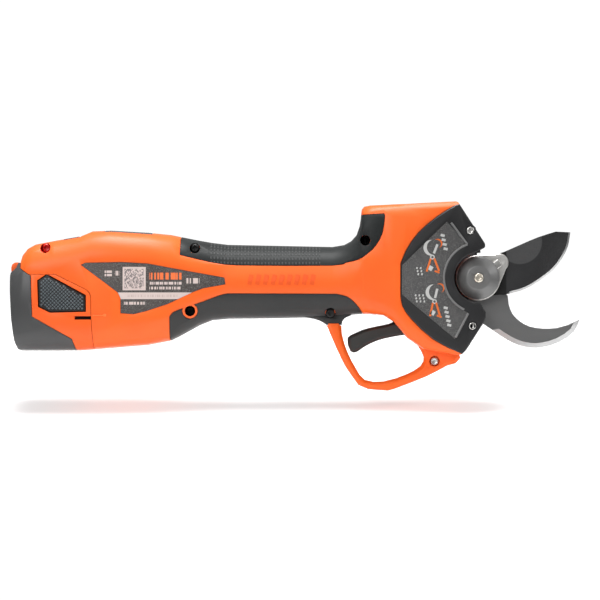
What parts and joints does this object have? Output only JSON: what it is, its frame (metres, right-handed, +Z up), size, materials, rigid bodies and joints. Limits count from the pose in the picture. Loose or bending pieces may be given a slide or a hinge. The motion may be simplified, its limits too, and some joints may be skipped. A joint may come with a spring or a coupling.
{
  "type": "battery pruner",
  "caption": "Cordless pruning shears with a long straight grip, trigger guard, hooked lower blade, powered upper blade and slide-off battery.",
  "frame": {"origin": "bottom centre of the overall box, under the middle of its length", "axes": "+X along the tool towards the blades (the longest way), +Y across it towards its left side (the shortest way), +Z up"},
  "size_m": [0.3192, 0.052, 0.1066],
  "materials": {
    "orange_plastic": "moulded orange plastic, satin",
    "orange_pack_plastic": "moulded orange plastic, satin",
    "grip_rubber": "dark moulded rubber, fine texture",
    "black_plastic": "black moulded plastic, satin",
    "grey_plastic": "dark grey moulded plastic, satin",
    "label_film": "printed dark grey film",
    "circuit_board": "green circuit board",
    "cell_wrap": "shrink wrap over steel cells",
    "cast_aluminium": "cast, machined on its faces",
    "bright_steel": "bright machined steel",
    "dark_steel": "blackened steel",
    "ground_blade": "ground tool steel",
    "coated_blade": "black coated tool steel, ground edge"
  },
  "bodies": {
    "casing": {"housing_left": "orange_plastic", "housing_right": "orange_plastic", "grip_top_left": "grip_rubber", "grip_top_right": "grip_rubber", "grip_bottom_left": "grip_rubber", "grip_bottom_right": "grip_rubber", "head_cover_left": "black_plastic", "head_cover_right": "black_plastic", "instruction_panel": "label_film", "rating_label": "label_film", "side_badge": "label_film", "display_panel": "black_plastic", "control_board": "circuit_board", "gear_case": "cast_aluminium", "fixed_blade": "ground_blade", "blade_screw": "bright_steel", "pinion_bearing": "bright_steel", "gearbox_case": "cast_aluminium", "motor_stator": "dark_steel", "trigger_pin": "bright_steel", "trigger_sensor": "circuit_board", "trigger_spring": "bright_steel", "terminal_block": "black_plastic", "housing_screw_1": "dark_steel", "housing_screw_2": "dark_steel", "housing_screw_3": "dark_steel", "housing_screw_4": "dark_steel", "housing_screw_5": "dark_steel", "housing_screw_6": "bright_steel", "cover_screw_left_1": "bright_steel", "cover_screw_left_2": "bright_steel", "cover_screw_right_1": "bright_steel", "cover_screw_right_2": "bright_steel"},
    "blade": {"moving_blade": "coated_blade", "pivot_bolt": "bright_steel", "pivot_nut": "dark_steel", "pivot_screw": "bright_steel", "lock_plate": "bright_steel", "lock_screw": "bright_steel"},
    "drive_shaft": {"planet_carrier": "bright_steel", "bevel_pinion": "bright_steel"},
    "planet_gear_1": {"planet_1": "bright_steel"},
    "planet_gear_2": {"planet_2": "bright_steel"},
    "planet_gear_3": {"planet_3": "bright_steel"},
    "rotor": {"motor_rotor": "bright_steel", "sun_gear": "bright_steel"},
    "trigger_lever": {"trigger": "grip_rubber"},
    "battery": {"battery_shell": "orange_pack_plastic", "battery_cap": "grey_plastic", "charge_port_plug": "orange_pack_plastic", "battery_cell_1": "cell_wrap", "battery_cell_2": "cell_wrap", "battery_cell_3": "cell_wrap", "battery_cell_4": "cell_wrap", "battery_board": "circuit_board"},
    "release_right": {"release_button_right": "grip_rubber"},
    "release_left": {"release_button_left": "grip_rubber"},
    "power_key": {"power_button": "black_plastic"}
  },
  "joints": [
    {"name": "blade_close", "type": "hinge", "parent": "casing", "child": "blade", "pos_m": [0.102, 0, 0.0632], "axis": [0, 1, 0], "range_deg": [0, 54]},
    {"name": "shaft_spin", "type": "hinge", "parent": "casing", "child": "drive_shaft", "pos_m": [0.0336, 0, 0.0632], "axis": [1, 0, 0], "range_deg": [-275, 5]},
    {"name": "planet_1_spin", "type": "hinge", "parent": "drive_shaft", "child": "planet_gear_1", "pos_m": [0.0279, 0.00675, 0.0632], "axis": [1, 0, 0], "range_deg": [-10, 770]},
    {"name": "planet_2_spin", "type": "hinge", "parent": "drive_shaft", "child": "planet_gear_2", "pos_m": [0.0279, -0.00337, 0.06905], "axis": [1, 0, 0], "range_deg": [-10, 770]},
    {"name": "planet_3_spin", "type": "hinge", "parent": "drive_shaft", "child": "planet_gear_3", "pos_m": [0.0279, -0.00337, 0.05735], "axis": [1, 0, 0], "range_deg": [-10, 770]},
    {"name": "rotor_spin", "type": "hinge", "parent": "casing", "child": "rotor", "pos_m": [0.0279, 0, 0.0632], "axis": [1, 0, 0], "range_deg": [-1225, 10]},
    {"name": "trigger_pull", "type": "hinge", "parent": "casing", "child": "trigger_lever", "pos_m": [0.066, 0, 0.0392], "axis": [0, 1, 0], "range_deg": [0, 12], "stiffness_Nm_per_rad": 0.6, "springref_deg": -14.32, "deforming": ["trigger_spring"]},
    {"name": "battery_slide", "type": "slide", "parent": "casing", "child": "battery", "axis": [-1, 0, 0], "range_m": [0, 0.08]},
    {"name": "release_right_press", "type": "slide", "parent": "battery", "child": "release_right", "axis": [0, 1, 0], "range_m": [0, 0.002], "stiffness_N_per_m": 1500, "springref_m": -0.002},
    {"name": "release_left_press", "type": "slide", "parent": "battery", "child": "release_left", "axis": [0, -1, 0], "range_m": [0, 0.002], "stiffness_N_per_m": 1500, "springref_m": -0.002},
    {"name": "power_press", "type": "slide", "parent": "casing", "child": "power_key", "axis": [0.167, 0, -0.986], "range_m": [0, 0.001], "stiffness_N_per_m": 1500, "springref_m": -0.001}
  ],
  "couplings": [
    {"joint": "shaft_spin", "follows": "blade_close", "ratio": -5},
    {"joint": "planet_1_spin", "follows": "blade_close", "ratio": 14},
    {"joint": "planet_2_spin", "follows": "blade_close", "ratio": 14},
    {"joint": "planet_3_spin", "follows": "blade_close", "ratio": 14},
    {"joint": "rotor_spin", "follows": "blade_close", "ratio": -22.5}
  ]
}
